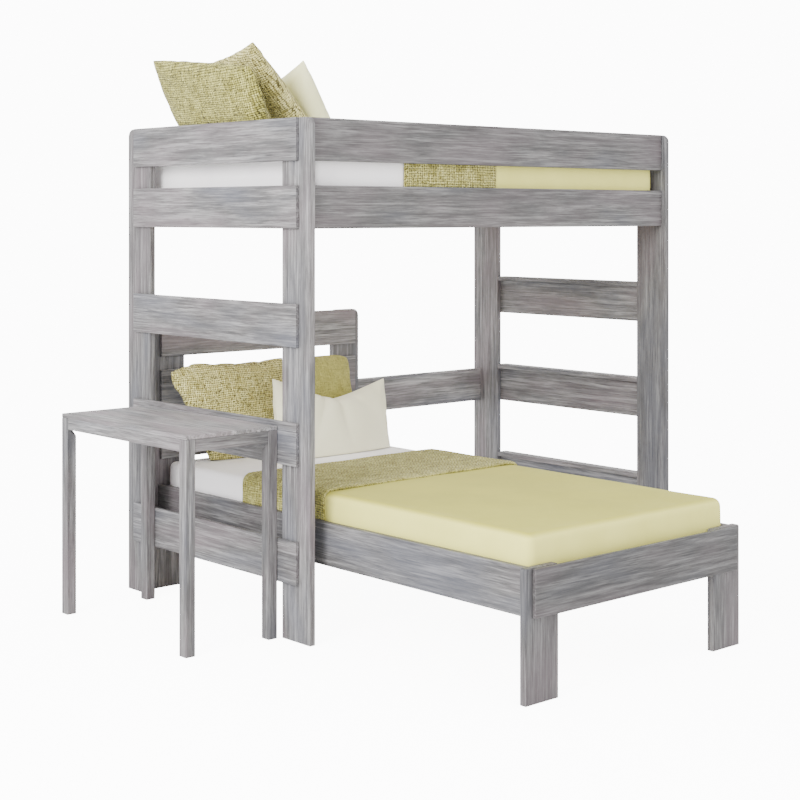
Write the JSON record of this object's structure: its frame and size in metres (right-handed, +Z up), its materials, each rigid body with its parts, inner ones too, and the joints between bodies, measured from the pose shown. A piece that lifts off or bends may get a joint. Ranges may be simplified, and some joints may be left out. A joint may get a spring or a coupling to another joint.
{
  "type": "loft bed with desk",
  "caption": "raised twin bed on plank posts with ladder-like ends, a second twin bed set crosswise beneath it, and a small narrow desk standing against one end",
  "frame": {"origin": "on the floor, at the centre of the whole set's outline", "axes": "+X along the raised bed, away from the desk; +Y from the lower bed's foot to its head; +Z up"},
  "size_m": [2.483, 2.059, 2.1171],
  "materials": {
    "grey_wood": "grey-stained open grain, satin",
    "slat_wood": "plain pine, unfinished",
    "dowel_wood": "plain beech, unfinished",
    "zinc_steel": "zinc plated",
    "white_sheet": "smooth white cotton",
    "pale_cover": "smooth pale green cotton",
    "woven_throw": "thick green weave with a knobbly surface",
    "woven_pillow": "flecked green weave",
    "smooth_pillow": "smooth green cotton",
    "cream_pillow": "smooth cream cotton"
  },
  "bodies": {
    "loft": {"back_guard_rail": "grey_wood", "back_side_rail": "grey_wood", "back_stretcher": "grey_wood", "front_guard_rail": "grey_wood", "front_side_rail": "grey_wood", "ladder_treads": "grey_wood", "left_guard_rail": "grey_wood", "left_rung_lower": "grey_wood", "left_rung_middle": "grey_wood", "left_rung_upper": "grey_wood", "left_side_rail": "grey_wood", "loft_brackets": "zinc_steel", "loft_cleats": "slat_wood", "loft_cover": "pale_cover", "loft_dowels": "dowel_wood", "loft_mattress": "white_sheet", "loft_pillow_inner": "smooth_pillow", "loft_pillow_middle": "woven_pillow", "loft_pillow_outer": "woven_pillow", "loft_post_back_left": "grey_wood", "loft_post_back_right": "grey_wood", "loft_post_front_left": "grey_wood", "loft_post_front_right": "grey_wood", "loft_screws": "zinc_steel", "loft_slats": "slat_wood", "loft_throw": "woven_throw", "right_guard_rail": "grey_wood", "right_rung_lower": "grey_wood", "right_rung_middle": "grey_wood", "right_rung_upper": "grey_wood", "right_side_rail": "grey_wood"},
    "lower_bed": {"bed_brackets": "zinc_steel", "bed_cleats": "slat_wood", "bed_cover": "pale_cover", "bed_dowels": "dowel_wood", "bed_foot_leg_left": "grey_wood", "bed_foot_leg_right": "grey_wood", "bed_foot_rail": "grey_wood", "bed_head_post_left": "grey_wood", "bed_head_post_right": "grey_wood", "bed_head_rail_lower": "grey_wood", "bed_head_rail_middle": "grey_wood", "bed_head_rail_top": "grey_wood", "bed_mattress": "white_sheet", "bed_pillow_front": "cream_pillow", "bed_pillow_left": "woven_pillow", "bed_pillow_right": "smooth_pillow", "bed_screws": "zinc_steel", "bed_side_rail_left": "grey_wood", "bed_side_rail_right": "grey_wood", "bed_slats": "slat_wood", "bed_throw": "woven_throw"},
    "desk": {"desk_corner_braces": "zinc_steel", "desk_leg_back_left": "grey_wood", "desk_leg_back_right": "grey_wood", "desk_leg_front_left": "grey_wood", "desk_leg_front_right": "grey_wood", "desk_long_aprons": "grey_wood", "desk_short_aprons": "grey_wood", "desk_top": "grey_wood"}
  },
  "joints": [
    {"name": "lower_bed_slide", "type": "slide", "parent": "loft", "child": "lower_bed", "axis": [0, -1, 0], "range_m": [0, 1.1]},
    {"name": "desk_slide", "type": "slide", "parent": "loft", "child": "desk", "axis": [-1, 0, 0], "range_m": [0, 0.6]}
  ]
}
